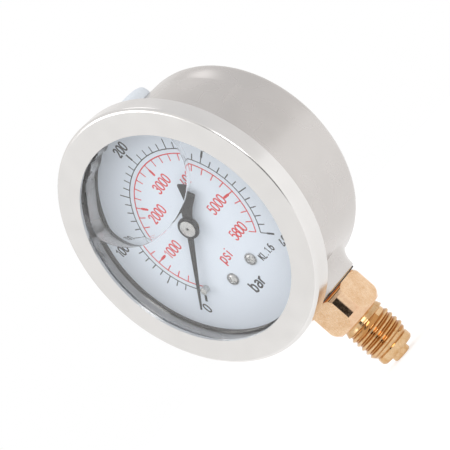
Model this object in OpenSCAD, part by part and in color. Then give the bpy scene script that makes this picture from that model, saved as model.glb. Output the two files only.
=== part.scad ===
// Liquid-filled pressure gauge with a bar and psi scale, 63 mm case, bottom entry.
// The dial faces -Y and the stem points down -Z. The origin is on the stem axis,
// on the end face of the connection thread. All lengths are millimetres.

/* [Show] */
// Piece to draw, or all of them

/* [Case] */
// Outside diameter of the case cylinder
case_d = 63.2; // [60:0.1:68]
// Depth from the bezel's front face to the back of the case
case_depth = 32; // [26:0.5:40]
// Sheet thickness of the case
case_wall = 0.7; // [0.5:0.1:1.2]
// Height of the case centre above the end face of the thread
centre_height = 57.8; // [50:0.1:66]
// Distance of the stem axis behind the bezel's front face
stem_depth = 19.8; // [16:0.1:24]

/* [Bezel] */
// Outside diameter of the crimped bezel
bezel_d = 73.4; // [68:0.1:78]
// Diameter of the opening over the window
opening_d = 59.4; // [52:0.1:61]
// Depth of the bezel
bezel_depth = 5.2; // [4:0.1:8]
// Thickness of the window
window_t = 2.5; // [2:0.1:4]

/* [Stem] */
// Major diameter of the metric thread
thread_d = 12; // [10:0.1:14]
// Pitch of the thread
thread_pitch = 1.5; // [1:0.05:2]
// Number of full thread crests
thread_turns = 6; // [4:1:8]
// Width across the flats of the square block
square_af = 14; // [12:0.5:17]
// Diameter that the corners of the square block are turned to
square_turned_d = 16.5; // [15:0.1:19]
// Diameter of the locating pilot
pilot_d = 5; // [4:0.1:6]
// Length of the locating pilot
pilot_l = 1.6; // [1:0.1:3]

/* [Dial and pointer] */
// Depth of the dial's printed face behind the bezel's front face
dial_depth = 10.3; // [8:0.1:13]
// Height of the pointer axis above the case centre
pointer_lift = 1.1; // [0:0.1:2]
// Angle of the pointer at rest, clockwise from straight up
pointer_rest = -127.5; // [-135:0.5:-120]
// Length of the pointer from its axis to its tip
pointer_l = 25.2; // [20:0.1:27]

/* [Movement] */
// Gear module of the sector and the pinion
gear_m = 0.35; // [0.3:0.01:0.5]
// Teeth on the pinion
pinion_teeth = 10; // [8:1:14]
// Teeth that a full circle of the sector would have
sector_teeth = 80; // [60:1:100]
// Centre-line radius of the bourdon tube
tube_r = 22.3; // [20:0.1:24]
// Width of the bourdon tube's oval section
tube_w = 7; // [5:0.1:9]
// Thickness of the bourdon tube's oval section
tube_t = 2.6; // [2:0.1:4]

/* [Hidden] */
$fn = 96;
fit = 0.05;                       // radial running clearance of every arbor
case_r = case_d / 2;
bezel_r = bezel_d / 2;
opening_r = opening_d / 2;
inner_r = case_r - case_wall;
back_corner = 2;                  // rounding of the case's back corner
flange_d0 = 4.0;                  // depth where the case's front flange starts
flange_t = 0.6;
flange_r = bezel_r - 1.1;
window_r = bezel_r - 1.3;
window_d0 = 0.85;                 // depth of the window's front face
window_d1 = window_d0 + window_t;
bezel_t = 0.8;                    // sheet thickness of the bezel
lip_t = 0.5;                      // thickness of the rolled-in rear lip
lip_r = case_r + 0.3;

collar_end = -35.2;               // end of the case's stem collar, from the case centre
stem_r = 8.2;                     // round shoulder of the stem inside the collar
block_top = centre_height - 35.7;
block_end = block_top - 8.2;      // start of the block's turned end chamfer
neck_top = block_end - 1.2;
neck_r = 5.45;
pilot_r = pilot_d / 2;
thread_r = thread_d / 2;
root_r = thread_r - 0.61 * thread_pitch;
relief_r = 5.15;                  // plain end of the thread
relief_l = 2.0;
crest_flat = 0.3;
thread_z0 = relief_l + 0.75;      // middle of the lowest crest
bore_r = 1.3;
screw_z = 6;                      // top of the restrictor screw in the bore

bar_x = 7;                        // half width of the socket bar in the case
bar_d0 = 18.4;                    // front of the socket bar
bar_d1 = 26.4;
bar_top = -13.5;
tube_d = (bar_d0 + bar_d1) / 2;   // depth of the tube's middle plane
tube_start = 192;                 // clock angle of the tube's fixed end
tube_sweep = 260;

axis_h = pointer_lift;
centre_gap = gear_m * (pinion_teeth + sector_teeth) / 2;
sector_x = centre_gap * cos(-45);
sector_h = axis_h + centre_gap * sin(-45);
tail_r = 5.3;                     // sector axis to the link pin
tail_a = -33.19;                  // angle of the tail at rest
tail_x = sector_x + tail_r * cos(tail_a);
tail_h = sector_h + tail_r * sin(tail_a);
knuckle_x = 17.958;               // link pin on the tube tip
knuckle_h = -4.962;
link_a = atan2(tail_h - knuckle_h, tail_x - knuckle_x);
link_l = norm([tail_x - knuckle_x, tail_h - knuckle_h]);

dial_t = 0.5;
dial_r = inner_r - 0.45;
dial_back = dial_depth + dial_t;
front_d0 = 12.3;                  // front plate
front_d1 = 13.1;
gear_d0 = 15.0;                   // sector and pinion teeth
gear_d1 = 15.8;
link_d0 = 15.95;
link_d1 = 16.55;
back_d0 = 17.6;                   // back plate
back_d1 = bar_d0;
post_x = 4.8;                     // pillars that also carry the dial screws
post_h = -15.2;
blade_d0 = 7.9;                   // pointer blade
blade_d1 = 8.3;
stop_a = -132.7;                  // stop pin's place on the dial
stop_r = 18.9;
stop_head_r = 1.0;

// ---- places and directions ----

// From case coordinates: x across, y depth behind the bezel, z from the case centre
module in_case() translate([0, -stem_depth, centre_height]) children();

// Upright shape drawn as [across, height], between two depths
module slab(d0, d1) translate([0, d1, 0]) rotate([90, 0, 0]) linear_extrude(d1 - d0) children();

// Profile drawn as [radius, depth], turned about the case axis
module turned(a0 = 0, sweep = 360)
  rotate([-90, 0, 0]) rotate([0, 0, a0]) rotate_extrude(angle = sweep) children();

// Round bar along the depth direction
module rod(x, h, r, d0, d1) translate([x, 0, h]) slab(d0, d1) circle(r, $fn = 48);

// Turn in the plane of the dial, clockwise as the dial is read
module clock(a, x = 0, h = 0)
  translate([x, 0, h]) rotate([0, a, 0]) translate([-x, 0, -h]) children();

// ---- case, bezel and window ----

// Solid body of the case, shrunk by `inset` on every side
module case_body(inset) {
  r = case_r - inset;
  d1 = case_depth - inset;
  c = back_corner - inset;
  turned() {
    translate([0, flange_d0 - (inset > 0 ? 1 : 0)])
      square([r, d1 - c - flange_d0 + (inset > 0 ? 1 : 0)]);
    square_from = d1 - c;
    translate([0, square_from - 0.5]) square([r - c, c + 0.5]);
    intersection() {
      translate([r - c, d1 - c]) circle(c);
      translate([0, d1 - c]) square([r + 1, c + 1]);
    }
  }
}

module case() color("#c9c7c3") in_case() difference() {
  union() {
    difference() {
      case_body(0);
      // shallow flat rolled into the rear shoulder
      difference() {
        rod(0, 0, case_r + 4, 24.2, case_depth - 3.4);
        rod(-2.1, -2.1, 34.2, 24, case_depth);
      }
    }
    turned() translate([case_r - 2, flange_d0]) square([flange_r - case_r + 2, flange_t]);
    translate([0, stem_depth, collar_end]) cylinder(h = 6, r1 = stem_r + 0.75, r2 = 11.8);
  }
  case_body(case_wall);
  translate([0, stem_depth, collar_end - 1]) cylinder(h = 12, r = stem_r + fit);
  translate([0, plug_depth, case_r - 8]) cylinder(h = 20, r = plug_bore_r);
}

module bezel() color("#d6d2cb") in_case() turned() difference() {
  bezel_outline(0);
  bezel_outline(bezel_t);
  translate([0, -1]) square([opening_r, bezel_depth + 2]);
  translate([0, 2]) square([lip_r, bezel_depth]);
}

// Outline of the bezel's section, `inset` inside its outer skin
module bezel_outline(inset) {
  corner = 0.95 - inset / 2;
  r = bezel_r - inset;
  d0 = inset;
  d1 = bezel_depth - (inset > 0 ? lip_t : 0);
  translate([0, d0]) square([r - corner, d1 - d0]);
  translate([0, d0 + corner]) square([r, d1 - d0 - 2 * corner]);
  translate([r - corner, d0 + corner]) circle(corner, $fn = 48);
  translate([r - corner, d1 - corner]) circle(corner, $fn = 48);
}

module window() color("#eef3f6", 0.35) in_case()
  turned() translate([0, window_d0]) square([window_r, window_t]);

module window_gasket() color("#8f9396") in_case() turned()
  translate([inner_r + 0.05, window_d1 + 0.02])
    square([window_r - inner_r - 0.05, flange_d0 - window_d1 - 0.04]);

plug_depth = 20.8;
plug_bore_r = 5.4;
plug_head_r = 7.2;
plug_top = case_r + 3.1;

module filler_plug() color("#c8d2dc") in_case() translate([0, plug_depth, 0]) difference() {
  union() {
    translate([0, 0, 27.8]) cylinder(h = 6, r = plug_bore_r - 0.05);
    difference() {
      translate([0, 0, case_r - 1.6]) rotate_extrude() {
        square([plug_head_r, 3.2]);
        square([plug_head_r - 1.5, plug_top - case_r + 1.6]);
        translate([plug_head_r - 1.5, plug_top - case_r + 0.1]) circle(1.5);
      }
      translate([0, 30, 0]) slab(-60, 0) circle(case_r + 0.03);
    }
  }
  translate([0, 0, 26]) cylinder(h = 4.5, r = 2.6);
}

// ---- stem, its seal and its restrictor ----

module stem() color("#b58b4c") difference() {
  union() {
    stem_turning();
    // square block, corners turned round
    intersection() {
      translate([-square_af / 2, -square_af / 2, block_end - 1.2])
        cube([square_af, square_af, block_top - block_end + 1.2]);
      rotate_extrude() polygon([
        [0, neck_top], [square_turned_d / 2 - 1.3, neck_top],
        [square_turned_d / 2, block_end], [square_turned_d / 2, block_top - 0.9],
        [square_turned_d / 2 - 0.9, block_top], [0, block_top]
      ]);
    }
    translate([0, 0, block_top]) cylinder(h = 6.2, r = stem_r);
    translate([-bar_x, bar_d0 - stem_depth, block_top + 5.9])
      cube([2 * bar_x, bar_d1 - bar_d0, centre_height + bar_top - block_top - 5.9]);
  }
  translate([0, 0, -pilot_l - 1]) cylinder(h = centre_height - tube_r + pilot_l + 1, r = bore_r);
  in_case() tube_slot();
  in_case() for (x = [-plate_screw_x, plate_screw_x])
    rod(x, plate_screw_h, 0.85, bar_d0 - 1, bar_d0 + 3.5);
}
plate_screw_x = 2.9;
plate_screw_h = -19.6;

// Pilot, thread and neck. The crests are plain rings on the thread's major diameter
module stem_turning() rotate_extrude() polygon(concat(
  [[0, -pilot_l], [pilot_r - 0.3, -pilot_l], [pilot_r, -pilot_l + 0.3], [pilot_r, 0],
   [relief_r - 0.5, 0], [relief_r, 0.5], [relief_r, relief_l]],
  [for (i = [0:thread_turns - 1]) let (z = thread_z0 + i * thread_pitch)
    each [[root_r, z - 0.6], [thread_r, z - crest_flat / 2],
          [thread_r, z + crest_flat / 2], [root_r, z + 0.6]]],
  [[thread_r, thread_z0 + thread_turns * thread_pitch - 0.6],
   [neck_r, neck_top + 0.01], [0, neck_top + 0.01]]
));

// Room for the tube's root and the passage that feeds it
module tube_slot() {
  turned(tube_start - 1 - 90, 12) tube_oval(0.02);
  turned(tube_start - 17 - 90, 16.2) translate([tube_r - 0.9, tube_d - 2.7]) square([1.8, 5.4]);
}

module stem_seal() color("#2b2b2d") in_case() translate([0, stem_depth, collar_end - 0.48])
  difference() {
    cylinder(h = 0.46, r = stem_r + 0.35);
    translate([0, 0, -1]) cylinder(h = 3, r = stem_r + 0.02);
  }

module restrictor_screw() color("#9a9a98") translate([0, 0, screw_z - 4]) difference() {
  cylinder(h = 4, r = bore_r);
  translate([0, 0, -1]) cylinder(h = 6, r = 0.3, $fn = 24);
  translate([-2, -0.2, -1]) cube([4, 0.4, 1.6]);
}

// ---- bourdon tube and link ----

// Oval section of the tube, drawn as [radius, depth], grown by `g`
module tube_oval(g) {
  r = tube_t / 2 + g;
  half = tube_w / 2 - tube_t / 2;
  translate([tube_r - r, tube_d - half]) square([2 * r, 2 * half]);
  for (s = [-1, 1]) translate([tube_r, tube_d + s * half]) circle(r, $fn = 32);
}

module bourdon_tube() color("#b98f5a") in_case() turned(tube_start - 90, tube_sweep)
  difference() {
    tube_oval(0);
    tube_oval(-0.45);
  }

module tube_tip() color("#b08a50") in_case() difference() {
  union() {
    turned(tube_start + tube_sweep - 90, 9) translate([tube_r - 1.9, tube_d - 4]) square([3.8, 8]);
    slab(lug_d0, tube_d - 2) polygon([
      [knuckle_x - 1.4, knuckle_h], [knuckle_x + 1.1, knuckle_h - 1.1], [tube_r + 0.4, -3.9],
      [tube_r + 1.2, -1.4], [tube_r - 1.9, -1.4]
    ]);
    rod(knuckle_x, knuckle_h, 1.5, lug_d0, tube_d - 2);
  }
  rod(knuckle_x, knuckle_h, 0.6, lug_d0 - 1, tube_d);
}
lug_d0 = 16.7;

module tip_pin() color("#8f8f8c") in_case() {
  rod(knuckle_x, knuckle_h, 0.6, 15.5, tube_d - 2.4);
  rod(knuckle_x, knuckle_h, 1.1, 15.2, 15.8);
}

module link() color("#a8a6a0") in_case() slab(link_d0, link_d1) difference() {
  union() {
    translate([knuckle_x, knuckle_h]) rotate(link_a) translate([0, -0.8]) square([link_l, 1.6]);
    translate([knuckle_x, knuckle_h]) circle(1.4, $fn = 48);
    translate([tail_x, tail_h]) circle(1.4, $fn = 48);
  }
  translate([knuckle_x, knuckle_h]) circle(0.6 + fit, $fn = 48);
  translate([tail_x, tail_h]) circle(link_eye_r, $fn = 48);
}
sector_pin_r = 0.5;
link_eye_r = sector_pin_r + 0.22;

// ---- movement ----

module plate_outline(foot) {
  polygon([[-3.4, axis_h], [-7, post_h + 2], [-7, foot], [7, foot],
           [sector_x + 2.6, sector_h - 1.6], [2.4, axis_h + 2.4]]);
  translate([0, axis_h]) circle(3.4, $fn = 48);
  translate([sector_x, sector_h]) circle(3.05, $fn = 48);
  translate([post_top_x, post_top_h]) circle(1.8, $fn = 48);
  polygon([[-3.4, axis_h], [1, axis_h + 3], [post_top_x + 1.8, post_top_h + 0.6],
           [post_top_x - 1.8, post_top_h]]);
}
post_top_x = -4.4;
post_top_h = 6.4;

module plate_bores(screws) {
  translate([0, axis_h]) circle(arbor_r + fit, $fn = 48);
  translate([sector_x, sector_h]) circle(arbor_r + fit, $fn = 48);
  if (screws) for (x = [-plate_screw_x, plate_screw_x])
    translate([x, plate_screw_h]) circle(0.85, $fn = 32);
}
arbor_r = 0.55;

module back_plate() color("#b9935a") in_case() slab(back_d0, back_d1) difference() {
  plate_outline(-22);
  plate_bores(true);
}

module front_plate() color("#b9935a") in_case() slab(front_d0, front_d1) difference() {
  plate_outline(-17.6);
  plate_bores(false);
  for (x = [-post_x, post_x]) translate([x, post_h]) circle(0.8, $fn = 32);
}

// Spacer between the plates, with a threaded nose for the dial screw
module pillar(x, h, nose) in_case() {
  difference() {
    union() {
      rod(x, h, 1.3, front_d1, back_d0);
      if (nose) rod(x, h, 1.9, dial_back, front_d0);
      if (nose) rod(x, h, 0.8, front_d0 - 0.1, front_d1 + 0.1);
    }
    if (nose) rod(x, h, 0.5, dial_back - 1, front_d1 + 1);
  }
}
module pillar_left() color("#a98450") pillar(-post_x, post_h, true);
module pillar_right() color("#a98450") pillar(post_x, post_h, true);
module pillar_top() color("#a98450") pillar(post_top_x, post_top_h, false);

// Pan-head screw with a cross recess; its head stands in front of `seat`
module pan_screw(x, h, seat, head_r, head_t, shank_r, shank_l, turn) difference() {
  union() {
    rod(x, h, shank_r, seat - 0.1, seat + shank_l);
    translate([x, seat, h]) rotate([90, 0, 0]) {
      cylinder(h = head_t * 0.5, r = head_r);
      translate([0, 0, head_t * 0.5]) cylinder(h = head_t * 0.5, r1 = head_r, r2 = head_r * 0.72);
    }
  }
  translate([x, seat - head_t, h]) rotate([0, turn, 0]) {
    cube([head_r * 1.25, head_t, 0.36], center = true);
    cube([0.36, head_t, head_r * 1.25], center = true);
  }
}

module plate_screw_left() color("#b8b8b4") in_case()
  pan_screw(-plate_screw_x, plate_screw_h, back_d0, 1.45, 0.9, 0.85, 4, 20);
module plate_screw_right() color("#b8b8b4") in_case()
  pan_screw(plate_screw_x, plate_screw_h, back_d0, 1.45, 0.9, 0.85, 4, 65);

// One tooth pointing along +X, from below its root to its tip
module tooth(pitch_r) polygon([
  [pitch_r - 1.8 * gear_m, -0.30], [pitch_r - 1.15 * gear_m, -0.27], [pitch_r, -0.2],
  [pitch_r + 0.75 * gear_m, -0.09], [pitch_r + 0.75 * gear_m, 0.09], [pitch_r, 0.2],
  [pitch_r - 1.15 * gear_m, 0.27], [pitch_r - 1.8 * gear_m, 0.30]
]);

sector_pr = gear_m * sector_teeth / 2;
pinion_pr = gear_m * pinion_teeth / 2;
tooth_step = 360 / sector_teeth;
mesh_a = 135;                     // from the sector axis to the pointer axis

module sector_gear() color("#b9935a") in_case() slab(gear_d0, gear_d1)
  translate([sector_x, sector_h]) difference() {
    union() {
      intersection() {
        circle(sector_pr - 1.2 * gear_m);
        polygon([[0, 0], for (a = [92:9:146.5]) 20 * [cos(a), sin(a)]]);
      }
      for (k = [-9:2]) rotate(mesh_a + k * tooth_step) tooth(sector_pr);
      circle(2.1, $fn = 48);
      rotate(tail_a) translate([0, -1.1]) square([tail_r, 2.2]);
      rotate(tail_a) translate([tail_r, 0]) circle(1.3, $fn = 48);
    }
    circle(arbor_r, $fn = 48);
    rotate(tail_a) translate([tail_r, 0]) circle(sector_pin_r, $fn = 32);
    // window that lightens the sector
    intersection() {
      difference() {
        circle(11.4);
        circle(4.2);
      }
      polygon([[1 * cos(119), 1 * sin(119)], for (a = [101:9:137]) 20 * [cos(a), sin(a)]]);
    }
  }

module sector_arbor() color("#9d9d9a") in_case()
  rod(sector_x, sector_h, arbor_r, front_d0 - 0.4, back_d1 + 0.3);

module sector_pin() color("#9d9d9a") in_case() {
  rod(tail_x, tail_h, sector_pin_r, gear_d0 - 0.2, link_d1 + 0.35);
}

module pinion() color("#9d9d9a") in_case() slab(gear_d0 - 0.5, gear_d1 + 0.5)
  translate([0, axis_h]) difference() {
    union() {
      circle(pinion_pr - 1.15 * gear_m, $fn = 48);
      for (k = [0:pinion_teeth - 1])
        rotate(-45 + (k + 0.5) * 360 / pinion_teeth) pinion_tooth();
    }
    circle(arbor_r, $fn = 48);
  }

module pinion_tooth() polygon([
  [pinion_pr - 1.6 * gear_m, -0.26], [pinion_pr - 0.9 * gear_m, -0.24], [pinion_pr, -0.2],
  [pinion_pr + 0.7 * gear_m, -0.09], [pinion_pr + 0.7 * gear_m, 0.09], [pinion_pr, 0.2],
  [pinion_pr - 0.9 * gear_m, 0.24], [pinion_pr - 1.6 * gear_m, 0.26]
]);

module pinion_arbor() color("#9d9d9a") in_case()
  rod(0, axis_h, arbor_r, blade_d0, back_d1 + 0.3);

// Flat spiral made of half rings, each starting where the last one ends
spring_r0 = 1.15;
spring_step = 0.4;
spring_halves = 7;
spring_d0 = 13.5;
spring_w = 0.45;
module hairspring() color("#c79a5b") in_case() slab(spring_d0, spring_d0 + spring_w)
  translate([0, axis_h]) for (i = [0:spring_halves - 1])
    translate([i % 2 == 0 ? 0 : spring_step, 0]) intersection() {
      difference() {
        circle(spring_r0 + i * spring_step + 0.12);
        circle(spring_r0 + i * spring_step);
      }
      translate([-10, i % 2 == 0 ? -0.001 : -10]) square([20, 10.001]);
    }

module hairspring_collet() color("#b9935a") in_case() slab(spring_d0 - 0.15, spring_d0 + 0.7)
  translate([0, axis_h]) difference() {
    circle(spring_r0 - 0.01, $fn = 48);
    circle(arbor_r, $fn = 48);
  }

stud_x = -(spring_r0 + (spring_halves - 1) * spring_step) - 0.55;
module hairspring_stud() color("#b9935a") in_case()
  rod(stud_x, axis_h - 0.25, 0.4, front_d1, spring_d0 + 0.9);

// ---- dial, screws, stop pin and pointer ----

module dial() color("#e9eef3") in_case() difference() {
  turned() translate([0, dial_depth]) square([dial_r, dial_t]);
  rod(0, axis_h, 2.2, dial_depth - 1, dial_back + 1);
  for (x = [-post_x, post_x]) rod(x, post_h, 0.75, dial_depth - 1, dial_back + 1);
  clock(stop_a, 0, axis_h) rod(0, axis_h + stop_r, 0.55, dial_depth - 1, dial_back + 1);
}

// Dark ring that holds the dial's edge
module dial_ring() color("#26272a") in_case() turned()
  translate([dial_r - 0.25, dial_depth - 0.8]) square([0.65, 0.78]);

module dial_screw_left() color("#c4c5c4") in_case()
  pan_screw(-post_x, post_h, dial_depth, 1.75, 1.0, 0.5, 2.2, 12);
module dial_screw_right() color("#c4c5c4") in_case()
  pan_screw(post_x, post_h, dial_depth, 1.75, 1.0, 0.5, 2.2, 40);

module stop_pin() color("#b9bab8") in_case() clock(stop_a, 0, axis_h)
{
  rod(0, axis_h + stop_r, stop_head_r, 7.3, dial_depth);
  rod(0, axis_h + stop_r, 0.55, dial_depth - 0.1, dial_back + 0.4);
}

// Needle and flared tail, drawn pointing up and turned to the rest angle
module pointer_blade() color("#1b1b1d") in_case() clock(pointer_rest, 0, axis_h)
  slab(blade_d0, blade_d1) translate([0, axis_h]) difference() {
    union() {
      polygon([[0.25, pointer_l], [-0.25, pointer_l], [-0.95, 2.4], [-1.35, -2],
               [-1.55, -5], [-2.5, -8.3], [-3.2, -tail_out + 0.8], [-3.0, -tail_out],
               [0, -tail_out - 0.3], [3.0, -tail_out], [3.2, -tail_out + 0.8], [2.5, -8.3],
               [1.55, -5], [1.35, -2], [0.95, 2.4]]);
      circle(2.9, $fn = 64);
    }
    circle(hub_r, $fn = 48);
  }
tail_out = 10.7;
hub_d0 = 6.6;                     // front of the silver disc
hub_r = 2.0;                      // silver disc on the pointer
boss_r = 2.9;                     // black boss round it

module pointer_hub() color("#c2c3c1") in_case() difference() {
  union() {
    rod(0, axis_h, hub_r, hub_d0, 9.7);
    rod(0, axis_h, 2.4, blade_d1, 9.7);
  }
  rod(0, axis_h, arbor_r, blade_d0, 12);
  rod(0, axis_h, 0.25, hub_d0 - 1, 12);
}

// Raised black boss around the hub
module pointer_cap() color("#1b1b1d") in_case() difference() {
  rod(0, axis_h, boss_r, hub_d0 + 0.25, blade_d0);
  rod(0, axis_h, hub_r, blade_d0 - 2, blade_d0 + 2);
}

case();
bezel();
window();
window_gasket();
filler_plug();
stem();
stem_seal();
restrictor_screw();
bourdon_tube();
tube_tip();
tip_pin();
link();
back_plate();
front_plate();
pillar_left();
pillar_right();
pillar_top();
plate_screw_left();
plate_screw_right();
sector_gear();
sector_arbor();
sector_pin();
pinion();
pinion_arbor();
hairspring();
hairspring_collet();
hairspring_stud();
dial();
dial_ring();
dial_screw_left();
dial_screw_right();
stop_pin();
pointer_blade();
pointer_hub();
pointer_cap();
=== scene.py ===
import math

import bmesh
import bpy
from mathutils import Matrix, Vector


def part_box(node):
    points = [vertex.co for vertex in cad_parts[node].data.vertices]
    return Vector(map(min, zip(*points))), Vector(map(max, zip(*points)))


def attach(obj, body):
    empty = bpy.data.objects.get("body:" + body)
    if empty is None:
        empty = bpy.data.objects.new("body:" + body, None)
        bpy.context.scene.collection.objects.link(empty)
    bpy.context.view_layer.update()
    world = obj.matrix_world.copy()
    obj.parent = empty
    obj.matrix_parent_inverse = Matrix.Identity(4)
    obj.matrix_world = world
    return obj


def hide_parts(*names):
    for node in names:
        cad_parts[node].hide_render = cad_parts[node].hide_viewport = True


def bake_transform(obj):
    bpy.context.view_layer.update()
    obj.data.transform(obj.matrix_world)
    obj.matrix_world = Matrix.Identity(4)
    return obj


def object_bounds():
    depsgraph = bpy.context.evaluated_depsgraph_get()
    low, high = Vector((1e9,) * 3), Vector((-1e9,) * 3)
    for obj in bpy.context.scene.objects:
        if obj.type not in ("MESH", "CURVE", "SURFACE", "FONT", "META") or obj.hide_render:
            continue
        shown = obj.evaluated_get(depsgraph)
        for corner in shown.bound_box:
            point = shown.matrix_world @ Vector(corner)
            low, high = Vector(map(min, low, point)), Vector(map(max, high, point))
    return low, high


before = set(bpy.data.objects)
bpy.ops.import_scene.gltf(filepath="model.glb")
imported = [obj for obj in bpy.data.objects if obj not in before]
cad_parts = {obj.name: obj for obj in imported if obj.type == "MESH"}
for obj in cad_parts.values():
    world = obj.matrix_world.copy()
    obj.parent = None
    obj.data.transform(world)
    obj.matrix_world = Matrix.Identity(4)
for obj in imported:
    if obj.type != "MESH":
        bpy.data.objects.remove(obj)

bl_info = {
    "name": "Pressure gauge",
    "version": (1, 0, 0),
    "blender": (4, 5, 0),
    "location": "3D View > Sidebar > Gauge",
    "description": "Builds the looks of a liquid-filled pressure gauge round its CAD parts",
    "category": "Object",
}

MM = 0.001
CAD_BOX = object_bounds()

# Places taken from the CAD: the bezel's front plane, the case's centre, the pointer's axis
BEZEL_LO, BEZEL_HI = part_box("bezel")
FRONT = BEZEL_LO.y / MM
CENTRE = (BEZEL_LO.z + BEZEL_HI.z) / 2 / MM
CAP_LO, CAP_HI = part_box("pointer_cap")
AXIS = (CAP_LO.z + CAP_HI.z) / 2 / MM - CENTRE
DIAL_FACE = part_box("dial")[0].y / MM - FRONT
PLUG_LO, PLUG_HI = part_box("filler_plug")
PLUG_DEPTH = (PLUG_LO.y + PLUG_HI.y) / 2 / MM - FRONT
WINDOW_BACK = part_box("window")[1].y / MM - FRONT
ROUND = 160


# ---------------------------------------------------------------- settings


def length(name, mm, text):
    return bpy.props.FloatProperty(name=name, description=text, default=mm * MM,
                                   precision=5, unit="LENGTH", subtype="DISTANCE")


def angle(name, degrees, text):
    return bpy.props.FloatProperty(name=name, description=text,
                                   default=math.radians(degrees), subtype="ANGLE")


def linear(code):
    """sRGB hex to the linear colour that shaders use"""
    parts = [int(code[i:i + 2], 16) / 255 for i in (1, 3, 5)]
    return [c / 12.92 if c <= 0.04045 else ((c + 0.055) / 1.055) ** 2.4 for c in parts]


def colour(name, code, text):
    return bpy.props.FloatVectorProperty(name=name, description=text, size=3, min=0, max=1,
                                         default=linear(code), subtype="COLOR")


class CaseSettings(bpy.types.PropertyGroup):
    wall_radius: length("Case radius", 31.6, "Outside of the drawn shell")
    wall: length("Wall", 0.7, "Thickness of the shell")
    depth: length("Case depth", 32.0, "Bezel front to the flat back")
    flange_radius: length("Flange radius", 35.6, "Flange that the bezel is crimped on")
    bezel_radius: length("Bezel radius", 36.7, "Outside of the bezel")
    bezel_opening: length("Opening radius", 29.7, "Opening of the bezel")
    bezel_depth: length("Bezel depth", 5.2, "Height of the bezel's side")
    bezel_sheet: length("Bezel sheet", 0.8, "Thickness of the bezel")
    steel: colour("Case steel", "#cfcbc8", "Satin drawn stainless sheet")
    bezel_steel: colour("Bezel steel", "#e3e1df", "Finer stainless sheet")
    plug: colour("Plug rubber", "#c6cbd8", "Pale blue-grey rubber")
    gasket: colour("Gasket rubber", "#8f9499", "Grey nitrile")


class StemSettings(bpy.types.PropertyGroup):
    flats: length("Across flats", 14.0, "Square block")
    turned: length("Turned diameter", 16.5, "Corners of the block")
    thread: length("Thread diameter", 12.0, "Major diameter")
    pitch: length("Pitch", 1.5, "Thread pitch")
    pilot: length("Pilot diameter", 5.0, "Pin under the thread")
    brass: colour("Brass", "#ecccaa", "Milled faces and polished corners")
    # painted shade: the same brass made darker for the neck, thread crests, plain end and pilot
    brass_turned_shaded: colour("Turned brass", "#dcbb92", "Neck, thread crests, plain end and pilot")
    # painted shade: a darker brass that stands for the shade in the thread's grooves
    brass_groove_shade: colour("Deep brass", "#b98550", "Brass in the thread's grooves")
    seal: colour("Seal", "#1d1d1f", "Black rubber ring")


class DialSettings(bpy.types.PropertyGroup):
    digit: length("Digit height", 2.75, "Numbers of the inner scale")
    stroke: length("Stroke", 0.42, "Line width of the print")
    arc_outer: length("Outer arc", 19.8, "Radius of the black arc")
    arc_inner: length("Inner arc", 18.45, "Radius of the red arc")
    paint: colour("Dial paint", "#dde6f1", "Matt white paint")
    black: colour("Black ink", "#17171a", "Screen-printed ink")
    red: colour("Red ink", "#d8232a", "Screen-printed ink")


class PointerSettings(bpy.types.PropertyGroup):
    rest: angle("Rest angle", -127.5, "Clockwise from straight up")
    reach: length("Reach", 25.2, "Axis to the tip")
    tail: length("Tail", 10.7, "Axis to the end of the flared tail")
    hub: length("Hub radius", 2.25, "Silver disc")
    boss: length("Boss radius", 2.9, "Black boss round the disc")
    black: colour("Pointer paint", "#131315", "Satin black paint")


class FillingSettings(bpy.types.PropertyGroup):
    radius: length("Radius", 31.2, "Reaches just into the case's wall")
    index: bpy.props.FloatProperty(name="Index", description="Refractive index", default=1.47)
    puddle_across: length("Bubble across", -1.0, "Middle of the bubble, right of the case's")
    puddle_up: length("Bubble up", 22.0, "Middle of the bubble, above the case's")
    puddle_width: length("Bubble half width", 23.0, "Middle of the bubble to its side")
    puddle_height: length("Bubble half height", 17.0, "Middle of the bubble to its lower edge")
    rim: length("Rim", 29.3, "Radius at which the case's wall stops the bubble")
    ripple: length("Ripple", 0.3, "Waves of the bubble's edge along the wall")
    bulge: length("Bulge", 0.4, "How far the bubble's side bulges out")
    lean: length("Lean", 2.6, "How far the bubble leans right towards the window")


class StageSettings(bpy.types.PropertyGroup):
    azimuth: angle("Azimuth", 47.024, "Camera's turn round the gauge")
    elevation: angle("Elevation", -1.386, "Camera's height angle")
    roll: angle("Roll", 48.97, "Turn of the camera about its own axis")
    distance: length("Distance", 450.25, "Camera to the point it looks at")
    aim_depth: length("Aim depth", 13.17, "Point looked at, behind the bezel's front")
    aim_height: length("Aim height", 52.87, "Point looked at, above the thread's end")
    lens: bpy.props.FloatProperty(name="Lens", description="Focal length in mm",
                                  default=145.88, unit="CAMERA")
    light: bpy.props.FloatProperty(name="Light", description="Strength of the soft studio",
                                   default=1.0)


SETTINGS = {"case": CaseSettings, "stem": StemSettings, "dial": DialSettings,
            "pointer": PointerSettings, "filling": FillingSettings, "stage": StageSettings}


def settings(name):
    return getattr(bpy.context.scene, "gauge_" + name)


def mm(value):
    """A length setting in millimetres, as the profiles below are written"""
    return value / MM


# ---------------------------------------------------------------- meshes

# Millimetres of the case (across, up, out of the dial from the bezel's front) to the part
CASE_PLACE = (Matrix.Translation((0, FRONT * MM, CENTRE * MM))
              @ Matrix.Rotation(math.pi / 2, 4, "X") @ Matrix.Scale(MM, 4))
STEM_PLACE = Matrix.Scale(MM, 4)


def at(x, h):
    return CASE_PLACE @ Matrix.Translation((x, h, 0))


def link(name, mesh):
    ob = bpy.data.objects.new(name, mesh)
    bpy.context.scene.collection.objects.link(ob)
    return ob


def raw(name, verts, edges=(), faces=()):
    mesh = bpy.data.meshes.new(name)
    mesh.from_pydata([tuple(v) for v in verts], [tuple(e) for e in edges],
                     [tuple(f) for f in faces])
    return link(name, mesh)


def modify(ob, kind, **values):
    mod = ob.modifiers.new(kind.title(), kind)
    for key, value in values.items():
        setattr(mod, key, value)
    return mod


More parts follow.
